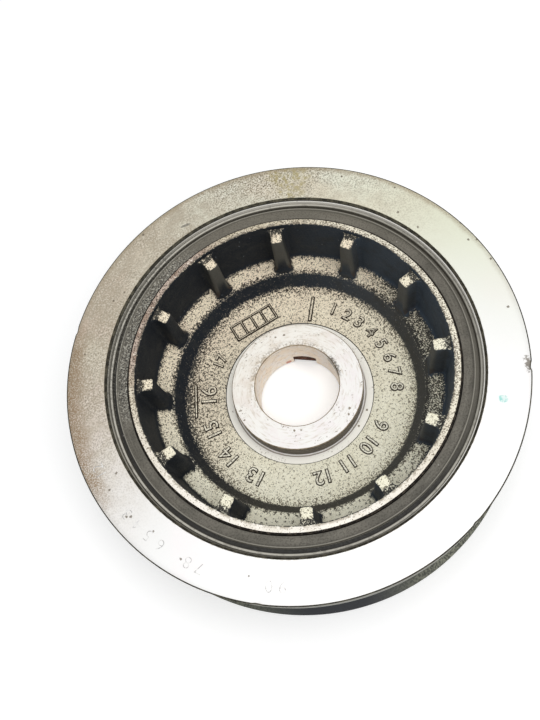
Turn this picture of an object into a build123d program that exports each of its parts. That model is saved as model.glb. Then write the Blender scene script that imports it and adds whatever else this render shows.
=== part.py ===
"""Harmonic balancer: a crankshaft pulley whose grooved ring is hung on the hub by rubber.

The origin is on the crankshaft axis, in the plane of the ring's front face, which is
the face that the part lies on. +Z runs along the axis towards the engine, so the open
cup of the hub faces up. Lengths are in millimetres and angles in degrees.
"""

from build123d import *
from math import radians, tan
import os

# Pulley ring: the inertia ring, with the belt track turned into its outside
ring_height = 39.5
ring_radius = 75.25
ring_wall = 13.75
ring_edge_break = 0.4
ring_bore_chamfer = 0.5
front_flange_rise = 1.25
front_flange_height = 3.4
front_flange_slope = 20.0
groove_count = 6
groove_pitch = 3.56
groove_angle = 40.0
groove_depth = 2.9
groove_mouth = 2.9
track_drop = 1.85
track_edge_width = 1.6

# Hub: the cup and its cast ribs
hub_rim_width = 2.7
hub_rim_drop = 1.7
hub_edge_break = 0.4
cup_draft = 1.5
rib_count = 12
first_rib_angle = 15.0
rib_drop = 1.8
rib_length = 5.7
rib_thickness = 4.2
rib_flare = 1.8
rib_nose_round = 0.9
rib_setback = 0.2

# Hub: the step, the floor and the boss
step_height = 7.0
step_slope = 27.0
step_crest_round = 0.65
step_foot_round = 2.4
boss_radius = 23.5
boss_height = 7.0
bore_radius = 15.0
bore_chamfer = 0.3
spot_face_radius = 27.0
spot_face_depth = 0.3
key_slot_width = 8.6
key_slot_depth = 0.4
key_slot_height = 5.0
key_slot_angle = 62.0

# Hub: the front side, which carries the bolt seat
seat_radius = 25.5
seat_lift = 0.5
seat_relief = 3.0
web_thickness = 5.5
front_rim_lift = 1.0
front_rim_width = 4.9
front_groove_depth = 7.5
front_groove_width = 4.0
front_slope = 35.0
front_round = 1.5

# Damper rubber: bonded between hub and ring, stepped where it shows at the rear
rubber_thickness = 6.6
rubber_gap = 0.3
rubber_gap_depth = 1.6
rubber_band_drop = 2.6
rubber_lip_width = 0.4
rubber_lip_height = 0.35
rubber_groove_width = 1.5
rubber_groove_depth = 1.4
rubber_bead_width = 0.85
rubber_bead_height = 0.4
rubber_bead_round = 0.35
rubber_crease_width = 0.15
rubber_crease_depth = 0.4
rubber_film_width = 0.3
rubber_film_height = 0.9
rubber_front_inset = 2.5

# Heights above the origin that follow from the sizes
rim_top = ring_height - hub_rim_drop
rib_top = rim_top - rib_drop
web_front = seat_lift + seat_relief
floor_height = web_front + web_thickness
ledge_height = floor_height + step_height
boss_top = floor_height + boss_height

# Radii that follow from the sizes: each piece takes its own from the piece round it
front_flange_radius = ring_radius + front_flange_rise
track_tip_radius = ring_radius - track_drop
ring_inner_radius = ring_radius - ring_wall
hub_radius = ring_inner_radius - rubber_thickness
mouth_radius = hub_radius - hub_rim_width
rib_inner_radius = mouth_radius - rib_length


def turned(corners):
    """Turns an outline of (radius, height, rounding) corners about the axis."""
    points = [(radius, height) for radius, height, _ in corners]
    roundings = [rounding for _, _, rounding in corners]
    outline = make_face(FilletPolyline(*points, radius=roundings, close=True))
    return revolve(Plane.XZ * outline, Axis.Z)


def groove_corners(middle):
    """Corners of one belt groove, from its front lip to its rear lip."""
    half_mouth = groove_mouth / 2
    half_root = half_mouth - groove_depth * tan(radians(groove_angle / 2))
    root_radius = track_tip_radius - groove_depth
    return [
        (track_tip_radius, middle - half_mouth, 0),
        (root_radius, middle - half_root, 0),
        (root_radius, middle + half_root, 0),
        (track_tip_radius, middle + half_mouth, 0),
    ]


def make_pulley_ring():
    """Inertia ring: front flange, belt grooves and a plain rear land."""
    flange_rise = front_flange_radius - track_tip_radius
    track_front = front_flange_height + flange_rise * tan(radians(front_flange_slope))
    first_groove = track_front + track_edge_width + groove_mouth / 2
    last_groove = first_groove + (groove_count - 1) * groove_pitch
    land_front = last_groove + groove_mouth / 2 + track_edge_width
    corners = [
        (ring_inner_radius + ring_edge_break, 0, 0),
        (front_flange_radius - ring_edge_break, 0, 0),
        (front_flange_radius, ring_edge_break, 0),
        (front_flange_radius, front_flange_height, 0),
        (track_tip_radius, track_front, 0),
    ]
    for groove in range(groove_count):
        corners += groove_corners(first_groove + groove * groove_pitch)
    corners += [
        (track_tip_radius, land_front, 0),
        (ring_radius, land_front + track_drop, 0),
        (ring_radius, ring_height - ring_edge_break, 0),
        (ring_radius - ring_edge_break, ring_height, 0),
        (ring_inner_radius + ring_bore_chamfer, ring_height, 0),
        (ring_inner_radius, ring_height - ring_bore_chamfer, 0),
        (ring_inner_radius, ring_edge_break, 0),
    ]
    return turned(corners)


def rib_plan():
    """Plan of one rib at its top, running from its nose out past the cup wall."""
    length = hub_radius - rib_inner_radius
    return Pos(rib_inner_radius + length / 2, 0) * Rectangle(length, rib_thickness)


def cup_plan():
    """Plan of the cup at the rib tops: a disc notched by ribs that flare into its wall."""
    ribs = PolarLocations(0, rib_count, first_rib_angle) * rib_plan()
    plan = Circle(mouth_radius) - ribs
    middle_radius = (mouth_radius + rib_inner_radius) / 2
    noses = [v for v in plan.vertices() if v.center().length < middle_radius]
    plan = fillet(noses, rib_nose_round)
    feet = [v for v in plan.vertices() if v.center().length > mouth_radius - rib_nose_round]
    return fillet(feet, rib_flare)


def make_cup_core():
    """The hollow of the cup between its ribs, narrowing from the rib tops to the ledge."""
    top = Plane.XY.offset(rib_top) * cup_plan()
    core = extrude(top, amount=-(rib_top - ledge_height), taper=cup_draft)
    mouth = Pos(0, 0, rib_top) * Cylinder(
        mouth_radius, hub_rim_drop + rib_drop, align=(Align.CENTER, Align.CENTER, Align.MIN)
    )
    return core + mouth


def make_key_slot():
    """Shallow slot across the front end of the bore wall, as a solid to cut away."""
    reach = bore_radius + key_slot_depth
    slot = Box(
        reach,
        key_slot_width,
        seat_lift + key_slot_height,
        align=(Align.MIN, Align.CENTER, Align.MIN),
    )
    return Rot(0, 0, key_slot_angle) * slot


def make_hub():
    """Cast hub: bore, boss, floor, step, ribbed cup wall and dished front web."""
    nose_radius = rib_inner_radius - (rib_top - ledge_height) * tan(radians(cup_draft))
    pot_radius = nose_radius - rib_setback
    crest_radius = pot_radius - step_crest_round
    floor_radius = crest_radius - step_height * tan(radians(step_slope))
    front_rim_inner = hub_radius - front_rim_width
    groove_top = front_rim_lift + front_groove_depth
    groove_inner = front_rim_inner - front_groove_width
    dish_outer = groove_inner - (groove_top - web_front) * tan(radians(front_slope))
    blank = turned(
        [
            (bore_radius + bore_chamfer, seat_lift, 0),
            (seat_radius, seat_lift, 0),
            (seat_radius, web_front, front_round),
            (dish_outer, web_front, front_round),
            (groove_inner, groove_top, front_round),
            (front_rim_inner, groove_top, front_round),
            (front_rim_inner, front_rim_lift, 0),
            (hub_radius, front_rim_lift, 0),
            (hub_radius, rim_top - hub_edge_break, 0),
            (hub_radius - hub_edge_break, rim_top, 0),
            (pot_radius, rim_top, 0),
            (pot_radius, ledge_height, 0),
            (crest_radius, ledge_height, step_crest_round),
            (floor_radius, floor_height, step_foot_round),
            (spot_face_radius, floor_height, 0),
            (spot_face_radius, floor_height - spot_face_depth, 0),
            (boss_radius, floor_height - spot_face_depth, 0),
            (boss_radius, boss_top - bore_chamfer, 0),
            (boss_radius - bore_chamfer, boss_top, 0),
            (bore_radius + bore_chamfer, boss_top, 0),
            (bore_radius, boss_top - bore_chamfer, 0),
            (bore_radius, seat_lift + bore_chamfer, 0),
        ]
    )
    return blank - make_cup_core() - make_key_slot()


def make_damper_rubber():
    """Elastomer ring: flat band, lip, groove, bead and a thin film up the ring's bore."""
    film_inner = ring_inner_radius - rubber_film_width
    bead_outer = film_inner - rubber_crease_width
    groove_outer = bead_outer - rubber_bead_width
    lip_outer = groove_outer - rubber_groove_width
    lip_inner = lip_outer - rubber_lip_width
    band_inner = hub_radius + rubber_gap
    band_height = ring_height - rubber_band_drop
    film_height = band_height + rubber_film_height
    crease_height = band_height - rubber_crease_depth
    bead_height = band_height + rubber_bead_height
    groove_height = band_height - rubber_groove_depth
    lip_height = band_height + rubber_lip_height
    gap_height = band_height - rubber_gap_depth
    return turned(
        [
            (hub_radius, rubber_front_inset, 0),
            (ring_inner_radius, rubber_front_inset, 0),
            (ring_inner_radius, film_height, 0),
            (film_inner, film_height, 0),
            (film_inner, crease_height, 0),
            (bead_outer, crease_height, 0),
            (bead_outer, bead_height, rubber_bead_round),
            (groove_outer, bead_height, rubber_bead_round),
            (groove_outer, groove_height, 0),
            (lip_outer, groove_height, 0),
            (lip_outer, lip_height, 0),
            (lip_inner, lip_height, 0),
            (lip_inner, band_height, 0),
            (band_inner, band_height, 0),
            (band_inner, gap_height, 0),
            (hub_radius, gap_height, 0),
        ]
    )


def main():
    """Writes one STEP file for each of the three pieces."""
    pieces = {
        "pulley_ring": make_pulley_ring(),
        "hub": make_hub(),
        "damper_rubber": make_damper_rubber(),
    }
    os.makedirs("parts", exist_ok=True)
    for name, piece in pieces.items():
        export_step(piece, f"parts/{name}.step")


main()
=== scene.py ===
"""Harmonic balancer: the finish of a used crankshaft pulley on a white table.

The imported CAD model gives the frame. Each of its three nodes is replaced by a finer mesh,
so that the turned circles are smooth and the cast edges soft. The forms are the model's,
but for the rubber's lip and film, the crest of the ledge and a few edge breaks, which
follow the photo more closely. Sizes are in metres, with MM for those that a designer would
give in millimetres. The tables of marks, and the lengths that the materials hand to near,
dots, toward, span and band, are in millimetres.
"""

from math import cos, hypot, pi, radians, sin, tan

import bmesh
import bpy
from mathutils import Matrix, Vector, noise


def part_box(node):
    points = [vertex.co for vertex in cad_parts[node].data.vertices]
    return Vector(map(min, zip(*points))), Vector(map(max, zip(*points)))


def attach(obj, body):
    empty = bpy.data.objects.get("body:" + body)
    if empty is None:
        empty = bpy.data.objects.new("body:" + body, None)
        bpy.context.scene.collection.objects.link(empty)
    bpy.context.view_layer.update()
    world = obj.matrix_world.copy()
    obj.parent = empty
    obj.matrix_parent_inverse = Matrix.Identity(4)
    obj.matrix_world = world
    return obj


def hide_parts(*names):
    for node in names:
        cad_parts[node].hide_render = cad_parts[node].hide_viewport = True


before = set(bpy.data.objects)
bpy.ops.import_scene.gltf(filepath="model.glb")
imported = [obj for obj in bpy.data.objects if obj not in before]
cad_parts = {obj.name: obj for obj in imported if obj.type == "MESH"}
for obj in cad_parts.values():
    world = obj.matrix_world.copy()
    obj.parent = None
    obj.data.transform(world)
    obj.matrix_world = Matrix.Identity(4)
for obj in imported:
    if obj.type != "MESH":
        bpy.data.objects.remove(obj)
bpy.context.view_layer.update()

MM = 0.001
TURN = 2 * pi

# Heights that the CAD model gives
RING_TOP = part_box("pulley_ring")[1].z
RIM_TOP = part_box("hub")[1].z

# Steps round the axis, and along the curves of a section
RING_STEPS, RUBBER_STEPS, HUB_STEPS = 432, 480, 360
ARC_STEPS = 5
FLARE_STEPS, NOSE_STEPS = 6, 5
FOOT_STEPS, SIDE_STEPS, TOP_STEPS = 5, 8, 4

# Camera, lamps, world and table
CAMERA_PLACE = Vector((-5.55, -85.6, 249.3)) * MM
CAMERA_TILT, CAMERA_ROLL = radians(22.84), radians(21.86)
CAMERA_SENSOR, CAMERA_LENS = 36, 35
LAMP_AIM = Vector((0, 0, 0.02))
LAMPS = (
    ("key", (0.10, -0.16, 1.0), 0.9, 6.7, (1, 1, 1)),
    ("fill", (0.5, -0.7, 0.6), 0.4, 1.2, (1.0, 0.98, 0.95)),
)
WORLD_COLOUR, WORLD_STRENGTH = (0.97, 0.985, 1.0, 1), 0.42
TABLE_SIZE, TABLE_COLOUR = 6, (0.86, 0.86, 0.86, 1)
GLOW_COLOUR, GLOW_STRENGTH = (1.0, 0.995, 0.985, 1), 0.28

# Pulley ring
RING_RADIUS = 75.25 * MM
RING_INNER = 61.5 * MM
RING_EDGE = 0.4 * MM
RING_BORE_CHAMFER = 0.7 * MM
FLANGE_RADIUS = 76.5 * MM
FLANGE_HEIGHT = 3.4 * MM
FLANGE_SLOPE = radians(20)
GROOVES = 6
GROOVE_PITCH = 3.56 * MM
GROOVE_ANGLE = radians(40)
GROOVE_DEPTH = 2.9 * MM
GROOVE_MOUTH = 2.9 * MM
TRACK_RADIUS = 73.4 * MM
TRACK_EDGE = 1.6 * MM
STAMP_RISE = 0.015 * MM
# Knocks in the rear outer edge: degrees, size and depth
NICKS = ((-24.7, 1.6, 0.45), (-64.8, 1.3, 0.3), (148, 1.2, 0.3), (-118, 1.4, 0.25))

# Hub
HUB_RADIUS = 54.9 * MM
HUB_EDGE = 0.6 * MM
MOUTH_RADIUS = 52.2 * MM
DRAFT = radians(1.5)
FOOT_ROUND = 3.0 * MM
LEDGE = 16.0 * MM
RIBS = 12
FIRST_RIB = radians(15)
RIB_TOP = RIM_TOP - 1.8 * MM
RIB_INNER = 46.5 * MM
RIB_THICKNESS = 4.2 * MM
RIB_FLARE = 1.8 * MM
RIB_NOSE_ROUND = 0.9 * MM
RIB_EDGE_ROUND = 0.5 * MM
FLOOR = LEDGE - 7.0 * MM
STEP_SLOPE = radians(27)
CREST = 45.13 * MM
CREST_ROUND = 2.0 * MM
STEP_FOOT_ROUND = 2.4 * MM
BOSS_RADIUS = 23.5 * MM
BOSS_TOP = FLOOR + 7.0 * MM
BORE_RADIUS = 15.0 * MM
BORE_CHAMFER = 0.3 * MM
SPOT_RADIUS = 27.0 * MM
SPOT_DEPTH = 0.3 * MM
SLOT_WIDTH = 8.6 * MM
SLOT_DEPTH = 0.4 * MM
SLOT_HEIGHT = 5.0 * MM
SLOT_ANGLE = radians(62)
SEAT_RADIUS = 25.5 * MM
SEAT = 0.5 * MM
WEB_FRONT = FLOOR - 5.5 * MM
FRONT_RIM = 1.0 * MM
FRONT_RIM_INNER = HUB_RADIUS - 4.9 * MM
FRONT_GROOVE_TOP = FRONT_RIM + 7.5 * MM
FRONT_GROOVE_INNER = FRONT_RIM_INNER - 4.0 * MM
FRONT_SLOPE = radians(35)
FRONT_ROUND = 1.5 * MM

# Damper rubber
RUBBER_GAP = 0.2 * MM
GAP_DEPTH = 1.6 * MM
BAND_TOP = RING_TOP - 2.6 * MM
LIP_WIDTH = 0.4 * MM
LIP_HEIGHT = 1.1 * MM
RUBBER_GROOVE_WIDTH = 1.5 * MM
RUBBER_GROOVE_DEPTH = 1.4 * MM
BEAD_WIDTH = 0.85 * MM
BEAD_HEIGHT = 0.4 * MM
BEAD_ROUND = 0.35 * MM
CREASE_WIDTH = 0.15 * MM
CREASE_DEPTH = 0.4 * MM
FILM_WIDTH = 0.3 * MM
FILM_HEIGHT = 1.5 * MM
RUBBER_FRONT = 2.5 * MM


# ---- camera, light, table


def add_object(name, data):
    """A new object in the scene that shows that data."""
    added = bpy.data.objects.new(name, data)
    bpy.context.scene.collection.objects.link(added)
    return added


def make_camera():
    """A phone held close above the part, a little in front of it and rolled."""
    data = bpy.data.cameras.new("camera")
    data.sensor_width, data.lens = CAMERA_SENSOR, CAMERA_LENS
    data.clip_start, data.clip_end = 0.01, 20
    camera = add_object("camera", data)
    turn = Matrix.Rotation(CAMERA_TILT, 4, "X") @ Matrix.Rotation(-CAMERA_ROLL, 4, "Z")
    camera.matrix_world = Matrix.Translation(CAMERA_PLACE) @ turn
    bpy.context.scene.camera = camera


def make_lamp(name, place, size, power, colour):
    """A square soft box that shines on the middle of the part."""
    data = bpy.data.lights.new(name, "AREA")
    data.shape, data.size = "SQUARE", size
    data.energy, data.color = power, colour
    lamp = add_object(name, data)
    lamp.location = place
    aim = LAMP_AIM - Vector(place)
    lamp.rotation_euler = aim.to_track_quat("-Z", "Y").to_euler()


def split_by_camera(tree, light, seen, out):
    """Shows one shader to the camera and lets the other light the part."""
    path = tree.nodes.new("ShaderNodeLightPath")
    mix = tree.nodes.new("ShaderNodeMixShader")
    tree.links.new(path.outputs["Is Camera Ray"], mix.inputs[0])
    tree.links.new(light.outputs[0], mix.inputs[1])
    tree.links.new(seen.outputs[0], mix.inputs[2])
    tree.links.new(mix.outputs[0], out.inputs[0])


def make_world():
    """Pale grey behind the part for the camera, and an even pale light on it."""
    world = bpy.data.worlds.new("studio")
    bpy.context.scene.world = world
    world.use_nodes = True
    tree = world.node_tree
    tree.nodes.clear()
    seen = tree.nodes.new("ShaderNodeBackground")
    seen.inputs["Strength"].default_value = 1.0
    light = tree.nodes.new("ShaderNodeBackground")
    light.inputs["Color"].default_value = WORLD_COLOUR
    light.inputs["Strength"].default_value = WORLD_STRENGTH
    split_by_camera(tree, light, seen, tree.nodes.new("ShaderNodeOutputWorld"))


def make_table():
    """A white table top that keeps the part's shadow."""
    bpy.ops.mesh.primitive_plane_add(size=TABLE_SIZE)
    table = bpy.context.object
    table.name = "table"
    material = bpy.data.materials.new("white_table")
    material.use_nodes = True
    tree = material.node_tree
    shader = tree.nodes["Principled BSDF"]
    shader.inputs["Base Color"].default_value = TABLE_COLOUR
    shader.inputs["Roughness"].default_value = 0.6
    shader.inputs["Specular IOR Level"].default_value = 0.2
    glow = tree.nodes.new("ShaderNodeEmission")
    glow.inputs["Color"].default_value = GLOW_COLOUR
    glow.inputs["Strength"].default_value = GLOW_STRENGTH
    both = tree.nodes.new("ShaderNodeAddShader")
    tree.links.new(shader.outputs[0], both.inputs[0])
    tree.links.new(glow.outputs[0], both.inputs[1])
    split_by_camera(tree, shader, both, tree.nodes["Material Output"])
    table.data.materials.append(material)


# ---- mesh helpers


def corner_arc(before, corner, after, radius):
    """Points that round the corner of a flat outline with an arc of that radius."""
    here, to_before, to_after = Vector(corner), Vector(before), Vector(after)
    a, b = (to_before - here).normalized(), (to_after - here).normalized()
    half = a.angle(b) / 2
    reach = radius / tan(half)
    start, end = here + a * reach, here + b * reach
    centre = here + (a + b).normalized() * (radius / sin(half))
    first, last = start - centre, end - centre
    sweep = first.angle_signed(last)
    points = []
    for step in range(ARC_STEPS + 1):
        angle = -sweep * step / ARC_STEPS
        points.append(centre + Matrix.Rotation(angle, 2) @ first)
    return [tuple(point) for point in points]


def rounded(corners):
    """(radius, height, finish) points from (radius, height, rounding, finish) corners."""
    points = []
    count = len(corners)
    for index, (r, z, rounding, finish) in enumerate(corners):
        if not rounding:
            points.append((r, z, finish))
            continue
        before = corners[index - 1][:2]
        after = corners[(index + 1) % count][:2]
        arc = corner_arc(before, (r, z), after, rounding)
        points += [(x, y, finish) for x, y in arc]
    return points


def fine_steps(points, longest):
    """The same closed outline in stretches about as long as its finish allows."""
    fine = []
    for index, (r, z, finish) in enumerate(points):
        r2, z2, _ = points[(index + 1) % len(points)]
        steps = max(1, int(hypot(r2 - r, z2 - z) / longest[finish] + 0.5))
        for step in range(steps):
            share = step / steps
            fine.append((r + (r2 - r) * share, z + (z2 - z) * share, finish))
    return fine


def lathe(bm, outline, steps):
    """Adds a closed outline of (radius, height, finish) points, turned about the axis."""
    rings = []
    for r, z, _ in outline:
        ring = [
            bm.verts.new((r * cos(TURN * k / steps), r * sin(TURN * k / steps), z))
            for k in range(steps)
        ]
        rings.append(ring)
    for index, (_, _, finish) in enumerate(outline):
        here, there = rings[index], rings[(index + 1) % len(rings)]
        for k in range(steps):
            m = (k + 1) % steps
            face = bm.faces.new((here[k], here[m], there[m], there[k]))
            face.material_index = finish


def finish_mesh(name, bm, materials, sharp=radians(32)):
    """Links a mesh object whose faces shade smooth up to the sharp angle."""
    mesh = bpy.data.meshes.new(name)
    bmesh.ops.recalc_face_normals(bm, faces=bm.faces)
    for face in bm.faces:
        face.smooth = True
    for edge in bm.edges:
        if len(edge.link_faces) == 2 and edge.calc_face_angle(0) > sharp:
            edge.smooth = False
    bm.to_mesh(mesh)
    bm.free()
    for material in materials:
        mesh.materials.append(material)
    return add_object(name, mesh)


def skin(bm, rings):
    """Closes a stack of rings of points into a body, with its two ends."""
    count = len(rings[0])
    for low, high in zip(rings, rings[1:]):
        for k in range(count):
            m = (k + 1) % count
            bm.faces.new((low[k], low[m], high[m], high[k]))
    bm.faces.new(list(reversed(rings[0])))
    bm.faces.new(rings[-1])


def combine(piece, tool, operation):
    """Applies an exact boolean of the tool to the piece, and removes the tool."""
    modifier = piece.modifiers.new("combine", "BOOLEAN")
    modifier.operation, modifier.solver = operation, "EXACT"
    modifier.object = tool
    bpy.context.view_layer.update()
    shape = piece.evaluated_get(bpy.context.evaluated_depsgraph_get())
    mesh = bpy.data.meshes.new_from_object(shape)
    piece.modifiers.clear()
    piece.data = mesh
    bpy.data.objects.remove(tool)


# ---- pulley ring


FACE, SIDE, BURR = range(3)


def groove_corners(middle):
    """Corners of one belt groove, from its front lip to its rear lip."""
    half_mouth = GROOVE_MOUTH / 2
    half_root = half_mouth - GROOVE_DEPTH * tan(GROOVE_ANGLE / 2)
    root = TRACK_RADIUS - GROOVE_DEPTH
    tip_round, root_round = 0.12 * MM, 0.18 * MM
    return [
        (TRACK_RADIUS, middle - half_mouth, tip_round, SIDE),
        (root, middle - half_root, root_round, SIDE),
        (root, middle + half_root, root_round, SIDE),
        (TRACK_RADIUS, middle + half_mouth, tip_round, SIDE),
    ]


def ring_corners():
    """Section of the ring, from its front face round to its bore."""
    flange_rise = FLANGE_RADIUS - TRACK_RADIUS
    track_front = FLANGE_HEIGHT + flange_rise * tan(FLANGE_SLOPE)
    first = track_front + TRACK_EDGE + GROOVE_MOUTH / 2
    land_front = first + (GROOVES - 1) * GROOVE_PITCH + GROOVE_MOUTH / 2 + TRACK_EDGE
    land_rise = RING_RADIUS - TRACK_RADIUS
    edge_round = 0.15 * MM
    face = RING_TOP - STAMP_RISE
    corners = [
        (RING_INNER + RING_EDGE, 0, 0, FACE),
        (FLANGE_RADIUS - RING_EDGE, 0, edge_round, SIDE),
        (FLANGE_RADIUS, RING_EDGE, edge_round, SIDE),
        (FLANGE_RADIUS, FLANGE_HEIGHT, 0.3 * MM, SIDE),
        (TRACK_RADIUS, track_front, edge_round, SIDE),
    ]
    for groove in range(GROOVES):
        corners += groove_corners(first + groove * GROOVE_PITCH)
    corners += [
        (TRACK_RADIUS, land_front, edge_round, SIDE),
        (RING_RADIUS, land_front + land_rise, edge_round, SIDE),
        (RING_RADIUS, RING_TOP - RING_EDGE / 2, 0, BURR),
        (RING_RADIUS - RING_EDGE, face, 0, FACE),
        (RING_INNER + RING_BORE_CHAMFER, face, 0, BURR),
        (RING_INNER, RING_TOP - RING_BORE_CHAMFER, 0, SIDE),
        (RING_INNER, RING_EDGE, 0, SIDE),
    ]
    return corners


def nick_edge(bm, angle, size, depth):
    """Pushes the rear outer edge of the ring in, where it has been knocked."""
    place = Vector((RING_RADIUS * cos(angle), RING_RADIUS * sin(angle), RING_TOP))
    for vert in bm.verts:
        away = (vert.co - place).length
        if away < size:
            share = (1 - (away / size) ** 2) ** 2
            vert.co.x -= depth * share * cos(angle)
            vert.co.y -= depth * share * sin(angle)
            vert.co.z -= depth * share * 0.6


def make_ring(materials):
    """Inertia ring with its belt grooves, land and flange."""
    bm = bmesh.new()
    longest = {FACE: 1.5 * MM, SIDE: 2.5 * MM, BURR: 2.5 * MM}
    lathe(bm, fine_steps(rounded(ring_corners()), longest), RING_STEPS)
    for degrees, size, depth in NICKS:
        nick_edge(bm, radians(degrees), size * MM, depth * MM)
    piece = finish_mesh("ring_body", bm, materials)
    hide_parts("pulley_ring")
    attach(piece, "root")


# ---- damper rubber


RUBBER = 0


def rubber_corners():
    """Section of the rubber: flat band, lip, groove and bead on the rear side."""
    film_inner = RING_INNER - FILM_WIDTH
    bead_outer = film_inner - CREASE_WIDTH
    groove_outer = bead_outer - BEAD_WIDTH
    lip_outer = groove_outer - RUBBER_GROOVE_WIDTH
    lip_inner = lip_outer - LIP_WIDTH
    band_inner = HUB_RADIUS + RUBBER_GAP
    bead_top = BAND_TOP + BEAD_HEIGHT
    groove_floor = BAND_TOP - RUBBER_GROOVE_DEPTH
    small = 0.12 * MM
    corners = [
        (HUB_RADIUS, RUBBER_FRONT, 0),
        (RING_INNER, RUBBER_FRONT, 0),
        (RING_INNER, BAND_TOP + FILM_HEIGHT, 0),
        (film_inner, BAND_TOP + FILM_HEIGHT, small),
        (film_inner, BAND_TOP - CREASE_DEPTH, 0),
        (bead_outer, BAND_TOP - CREASE_DEPTH, 0),
        (bead_outer, bead_top, BEAD_ROUND),
        (groove_outer, bead_top, BEAD_ROUND),
        (groove_outer, groove_floor, small),
        (lip_outer, groove_floor, small),
        (lip_outer, BAND_TOP + LIP_HEIGHT, small),
        (lip_inner, BAND_TOP + LIP_HEIGHT, small),
        (lip_inner, BAND_TOP, small / 2),
        (band_inner, BAND_TOP, small),
        (band_inner, BAND_TOP - GAP_DEPTH, 0),
        (HUB_RADIUS, BAND_TOP - GAP_DEPTH, 0),
    ]
    return [(*corner, RUBBER) for corner in corners]


def make_rubber(materials):
    """Rubber ring, a little uneven where it shows, as moulded rubber is."""
    bm = bmesh.new()
    lathe(bm, fine_steps(rounded(rubber_corners()), {RUBBER: 0.66 * MM}), RUBBER_STEPS)
    for vert in bm.verts:
        if vert.co.z < BAND_TOP - GAP_DEPTH / 2:
            continue
        wave = noise.noise(vert.co * 90) * 0.07 * MM
        grain = noise.noise(vert.co * 600) * 0.03 * MM
        vert.co.z += wave + grain
    piece = finish_mesh("rubber_ring", bm, materials)
    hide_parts("damper_rubber")
    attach(piece, "root")


# ---- hub


CAST, RIM, BOSS, BORE, EDGE, SHADE, SLOT, BLACK_SHADE = range(8)


def hub_corners():
    """Section of the hub without its ribs."""
    depth = RIB_TOP - LEDGE
    foot_radius = MOUTH_RADIUS - depth * tan(DRAFT)
    floor_radius = CREST - (LEDGE - FLOOR) * tan(STEP_SLOPE)
    dish_outer = FRONT_GROOVE_INNER - (FRONT_GROOVE_TOP - WEB_FRONT) * tan(FRONT_SLOPE)
    fine = 0.12 * MM
    return [
        (BORE_RADIUS + BORE_CHAMFER, SEAT, 0, BOSS),
        (SEAT_RADIUS, SEAT, fine, BOSS),
        (SEAT_RADIUS, WEB_FRONT, FRONT_ROUND, CAST),
        (dish_outer, WEB_FRONT, FRONT_ROUND, CAST),
        (FRONT_GROOVE_INNER, FRONT_GROOVE_TOP, FRONT_ROUND, CAST),
        (FRONT_RIM_INNER, FRONT_GROOVE_TOP, FRONT_ROUND, CAST),
        (FRONT_RIM_INNER, FRONT_RIM, 0.3 * MM, RIM),
        (HUB_RADIUS, FRONT_RIM, 0, BLACK_SHADE),
        (HUB_RADIUS, RIM_TOP - HUB_EDGE, 0, BLACK_SHADE),
        (HUB_RADIUS - HUB_EDGE, RIM_TOP, 0, RIM),
        (MOUTH_RADIUS, RIM_TOP, 0.3 * MM, CAST),
        (MOUTH_RADIUS, RIB_TOP, 0, CAST),
        (foot_radius, LEDGE, FOOT_ROUND, CAST),
        (CREST, LEDGE, CREST_ROUND, CAST),
        (floor_radius, FLOOR, STEP_FOOT_ROUND, CAST),
        (SPOT_RADIUS + 0.12 * MM, FLOOR, 0, BLACK_SHADE),
        (SPOT_RADIUS - 0.15 * MM, FLOOR - SPOT_DEPTH, 0, BOSS),
        (BOSS_RADIUS, FLOOR - SPOT_DEPTH, 0, SHADE),
        (BOSS_RADIUS, BOSS_TOP - BORE_CHAMFER, fine, EDGE),
        (BOSS_RADIUS - BORE_CHAMFER, BOSS_TOP, fine, BOSS),
        (BORE_RADIUS + BORE_CHAMFER, BOSS_TOP, fine, EDGE),
        (BORE_RADIUS, BOSS_TOP - BORE_CHAMFER, fine, BORE),
        (BORE_RADIUS, SEAT + BORE_CHAMFER, fine, BOSS),
    ]


def rib_outline(grow):
    """Plan of one rib along +X, grown outwards: tail in the wall, flares, sides, nose."""
    half = RIB_THICKNESS / 2 + grow
    nose = max(RIB_INNER - grow, CREST + 0.2 * MM)
    flare = max(RIB_FLARE - grow, 0.2 * MM)
    wall = MOUTH_RADIUS - grow
    tail = MOUTH_RADIUS + 1.0 * MM
    flare_y = half + flare
    flare_x = ((wall - flare) ** 2 - flare_y**2) ** 0.5
    corner = min(max(RIB_NOSE_ROUND + grow, 0.1 * MM), flare_x - nose - 0.2 * MM)
    meet = Vector((flare_x, flare_y)).normalized() * (wall + 0.02 * MM)
    start = (meet - Vector((flare_x, flare_y))).angle(Vector((0, -1)))
    upper = [(tail, meet.y * tail / meet.x)]
    for step in range(FLARE_STEPS + 1):
        angle = start * (1 - step / FLARE_STEPS)
        upper.append((flare_x + flare * sin(angle), flare_y - flare * cos(angle)))
    for step in range(NOSE_STEPS + 1):
        angle = pi / 2 * step / NOSE_STEPS
        upper.append((nose + corner - corner * sin(angle), half - corner + corner * cos(angle)))
    return upper + [(x, -y) for x, y in reversed(upper)]


def rib_levels():
    """(height, growth) pairs of one rib from its foot in the ledge to its rounded top."""
    depth = RIB_TOP - LEDGE
    foot = depth * tan(DRAFT)
    levels = [(LEDGE - 1.2 * MM, foot + FOOT_ROUND)]
    for step in range(FOOT_STEPS + 1):
        angle = pi / 2 * step / FOOT_STEPS
        rise = FOOT_ROUND * (1 - cos(angle))
        levels.append((LEDGE + rise, foot + FOOT_ROUND * (1 - sin(angle))))
    low, shoulder = LEDGE + FOOT_ROUND, RIB_TOP - RIB_EDGE_ROUND
    for step in range(1, SIDE_STEPS + 1):
        share = step / SIDE_STEPS
        levels.append((low + (shoulder - low) * share, foot * (1 - share)))
    for step in range(1, TOP_STEPS + 1):
        angle = pi / 2 * step / TOP_STEPS
        rise = RIB_EDGE_ROUND * sin(angle)
        levels.append((shoulder + rise, -RIB_EDGE_ROUND * (1 - cos(angle))))
    return levels


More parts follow.
